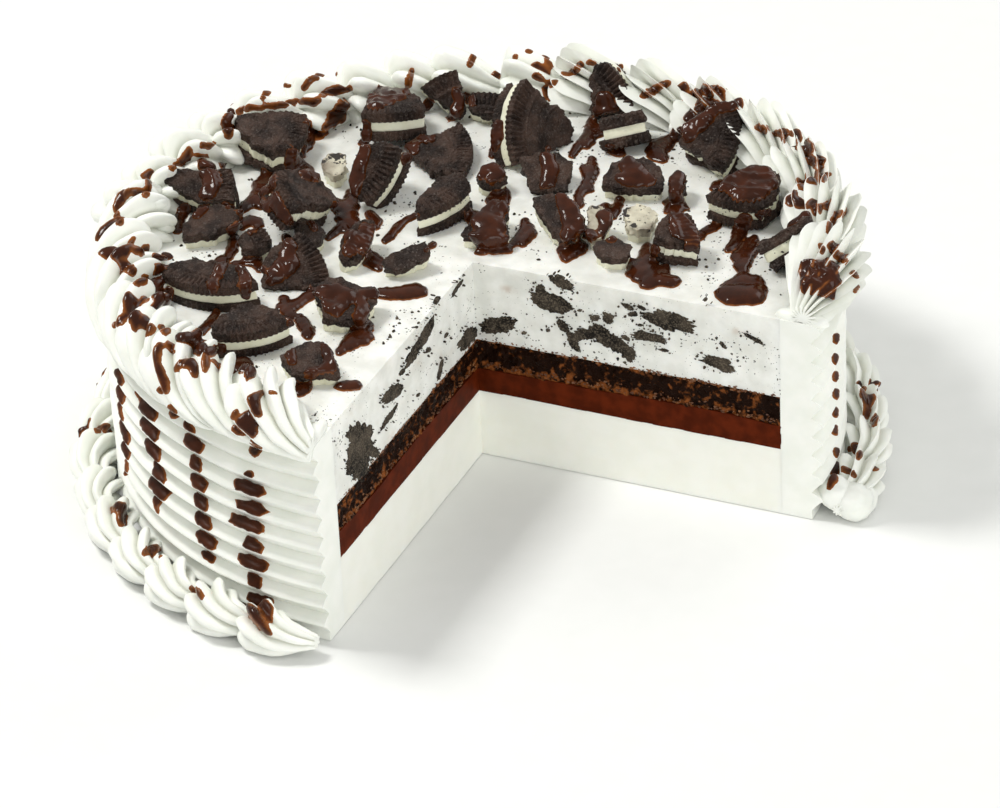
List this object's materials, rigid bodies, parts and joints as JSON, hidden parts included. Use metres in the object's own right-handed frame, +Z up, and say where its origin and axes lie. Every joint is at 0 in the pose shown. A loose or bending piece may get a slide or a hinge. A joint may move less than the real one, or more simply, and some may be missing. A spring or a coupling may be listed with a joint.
{
  "type": "ice cream cake",
  "caption": "Round layered ice cream cake with a quarter cut out, combed icing wall, piped shell borders and broken sandwich cookies on top.",
  "frame": {"origin": "the cake's middle at its base, on the surface it stands on", "axes": "+Z up; the missing quarter is x > 0, y < 0, so one cut face is the plane x = 0 and the other the plane y = 0"},
  "size_m": [0.2251, 0.2248, 0.0808],
  "materials": {
    "icing": "soft, smooth",
    "vanilla": "smooth, frozen",
    "fudge": "smooth, moist",
    "crunch": "crumbly",
    "cookie_ice_cream": "smooth, frozen, speckled",
    "cookie": "dry, crumbly"
  },
  "bodies": {
    "root": {"vanilla_layer": "vanilla", "fudge_layer": "fudge", "crunch_layer": "crunch", "ice_cream_layer": "cookie_ice_cream", "icing_wall": "icing", "top_border": "icing", "base_border": "icing", "cookie_01": "cookie", "cookie_02": "cookie", "cookie_03": "cookie", "cookie_04": "cookie", "cookie_05": "cookie", "cookie_06": "cookie", "cookie_07": "cookie", "cookie_08": "cookie", "cookie_09": "cookie", "cookie_10": "cookie", "cookie_11": "cookie", "cookie_12": "cookie", "cookie_13": "cookie", "cookie_14": "cookie", "cookie_15": "cookie", "cookie_16": "cookie", "cookie_17": "cookie", "cookie_18": "cookie", "cookie_19": "cookie", "cookie_20": "cookie", "cookie_21": "cookie", "cookie_22": "cookie", "cookie_23": "cookie", "cookie_24": "cookie", "cookie_25": "cookie", "cookie_26": "cookie", "cookie_27": "cookie", "cookie_28": "cookie", "cookie_29": "cookie", "cookie_30": "cookie", "cookie_31": "cookie", "cookie_32": "cookie", "cookie_33": "cookie", "cookie_34": "cookie", "cookie_35": "cookie", "cookie_36": "cookie"}
  },
  "joints": []
}
